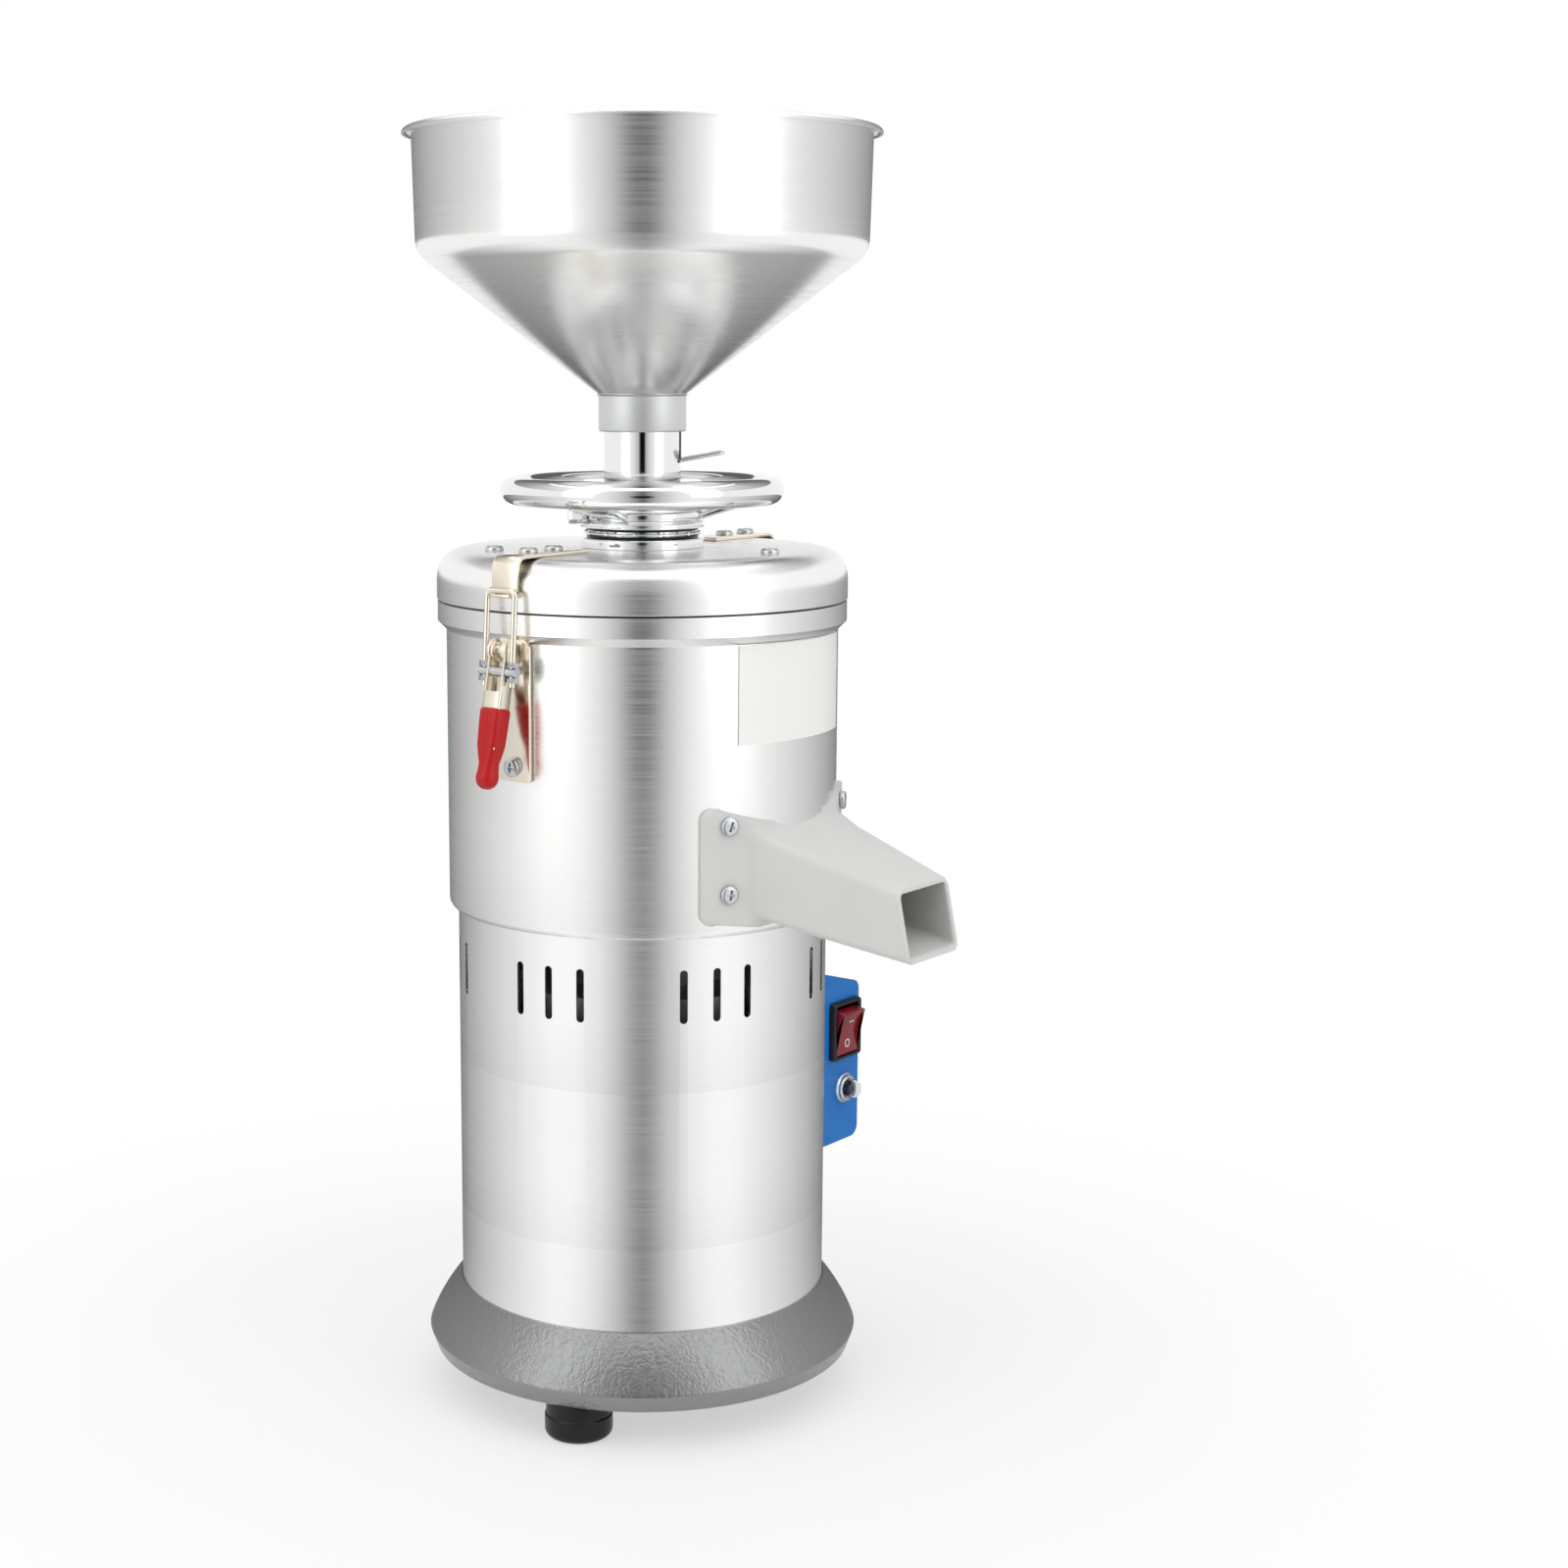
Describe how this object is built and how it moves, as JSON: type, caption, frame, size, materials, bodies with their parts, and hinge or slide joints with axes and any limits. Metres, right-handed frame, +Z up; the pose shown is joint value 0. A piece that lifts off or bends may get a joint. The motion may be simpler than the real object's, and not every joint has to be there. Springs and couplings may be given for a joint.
{
  "type": "nut butter grinder",
  "caption": "Upright nut butter grinder: feed hopper on an adjusting handwheel, latched grinding drum with a side spout, motor cover, switch box and flared foot.",
  "frame": {"origin": "on the machine's axis, at the plane that the feet stand on", "axes": "+Z up along the motor shaft; the spout points to -Y; the latches are at -X and +X; the switch box is at +X"},
  "size_m": [0.2802, 0.2994, 0.65],
  "materials": {
    "stainless": "satin",
    "chrome": "polished",
    "nickel": "bright nickel plate",
    "zinc": "zinc plated",
    "hammered_grey": "hammered enamel",
    "cast_grey": "powder coat",
    "box_blue": "powder coat",
    "rubber": "matte",
    "black_plastic": "moulded",
    "clear_boot": "clear",
    "rocker_red": "translucent",
    "grip_red": "dipped vinyl",
    "burr_steel": "ground",
    "motor_alloy": "as cast",
    "lamination": "stacked sheet",
    "copper_wire": "enamelled copper",
    "capacitor_case": "moulded",
    "label": "satin film"
  },
  "bodies": {
    "machine": {"rubber_feet": "rubber", "foot_screws": "zinc", "base_casting": "hammered_grey", "motor_cover": "stainless", "motor_lower_plate": "motor_alloy", "motor_stator": "lamination", "motor_windings": "copper_wire", "motor_upper_plate": "motor_alloy", "motor_tie_bolts": "zinc", "bearings": "chrome", "motor_adapter": "motor_alloy", "shaft_seal": "rubber", "grinding_chamber": "stainless", "chamber_screws": "zinc", "spout": "cast_grey", "spout_screws": "zinc", "label_plate": "label", "lid": "stainless", "lid_gasket": "rubber", "lid_screws": "zinc", "boss_ring": "chrome", "thrust_bearing": "chrome", "guide_pins": "zinc", "latch_plates": "nickel", "latch_screws": "zinc", "latch_pins": "nickel", "keeper_straps": "nickel", "switch_box": "box_blue", "switch_panel": "box_blue", "switch_bezel": "black_plastic", "reset_nut": "chrome", "capacitor": "capacitor_case", "cable_gland": "black_plastic"},
    "rotor": {"motor_shaft": "burr_steel", "rotor_core": "lamination", "cooling_fan": "black_plastic", "discharge_impeller": "stainless", "rotor_burr": "burr_steel", "burr_nut": "zinc"},
    "handwheel": {"handwheel_rim": "chrome", "handwheel_spokes": "chrome", "handwheel_hub": "chrome", "retaining_ring": "zinc"},
    "lock_screw": {"lock_screw": "chrome"},
    "sleeve": {"feed_sleeve": "chrome", "stator_burr": "burr_steel", "burr_screws": "zinc"},
    "gate": {"feed_gate": "stainless"},
    "hopper": {"hopper_bowl": "stainless", "hopper_collar": "stainless"},
    "left_lever": {"left_lever": "nickel", "left_grip": "grip_red"},
    "left_hook": {"left_hook": "nickel", "left_hook_fittings": "nickel"},
    "right_lever": {"right_lever": "nickel", "right_grip": "grip_red"},
    "right_hook": {"right_hook": "nickel", "right_hook_fittings": "nickel"},
    "rocker": {"rocker": "rocker_red"},
    "reset_button": {"reset_button": "clear_boot"}
  },
  "joints": [
    {"name": "rotor_spin", "type": "hinge", "parent": "machine", "child": "rotor", "pos_m": [0, 0, 0.2], "axis": [0, 0, 1], "continuous": true},
    {"name": "handwheel_turn", "type": "hinge", "parent": "machine", "child": "handwheel", "pos_m": [0, 0, 0.471], "axis": [0, 0, 1], "range_deg": [0, 360]},
    {"name": "lock_screw_turn", "type": "hinge", "parent": "handwheel", "child": "lock_screw", "pos_m": [-0.02811, 0.02118, 0.4587], "axis": [-0.7986, 0.6018, 0], "range_deg": [0, 360]},
    {"name": "sleeve_lift", "type": "slide", "parent": "machine", "child": "sleeve", "axis": [0, 0, 1], "range_m": [0, 0.002]},
    {"name": "gate_slide", "type": "slide", "parent": "sleeve", "child": "gate", "axis": [0.6964, -0.6964, 0.1736], "range_m": [-0.02, 0]},
    {"name": "hopper_lift", "type": "slide", "parent": "sleeve", "child": "hopper", "axis": [0, 0, 1], "range_m": [0, 0.12]},
    {"name": "left_lever_turn", "type": "hinge", "parent": "machine", "child": "left_lever", "pos_m": [-0.1095, 0, 0.398], "axis": [0, 1, 0], "range_deg": [0, 115]},
    {"name": "left_hook_swing", "type": "hinge", "parent": "left_lever", "child": "left_hook", "pos_m": [-0.11252, 0, 0.38808], "axis": [0, 1, 0], "range_deg": [-127, 0]},
    {"name": "right_lever_turn", "type": "hinge", "parent": "machine", "child": "right_lever", "pos_m": [0.1095, 0, 0.398], "axis": [0, -1, 0], "range_deg": [0, 115]},
    {"name": "right_hook_swing", "type": "hinge", "parent": "right_lever", "child": "right_hook", "pos_m": [0.11252, 0, 0.38808], "axis": [0, -1, 0], "range_deg": [-127, 0]},
    {"name": "rocker_tilt", "type": "hinge", "parent": "machine", "child": "rocker", "pos_m": [0.137, -0.034, 0.165], "axis": [-1, 0, 0], "range_deg": [0, 24]},
    {"name": "reset_press", "type": "slide", "parent": "machine", "child": "reset_button", "axis": [0, 1, 0], "range_m": [0, 0.003], "stiffness_N_per_m": 400, "springref_m": -0.001}
  ],
  "couplings": [
    {"joint": "handwheel_turn", "follows": "sleeve_lift", "rad_per_m": 3141.6},
    {"joint": "left_hook_swing", "follows": "left_lever_turn", "ratio": -1.1},
    {"joint": "right_hook_swing", "follows": "right_lever_turn", "ratio": -1.1}
  ]
}
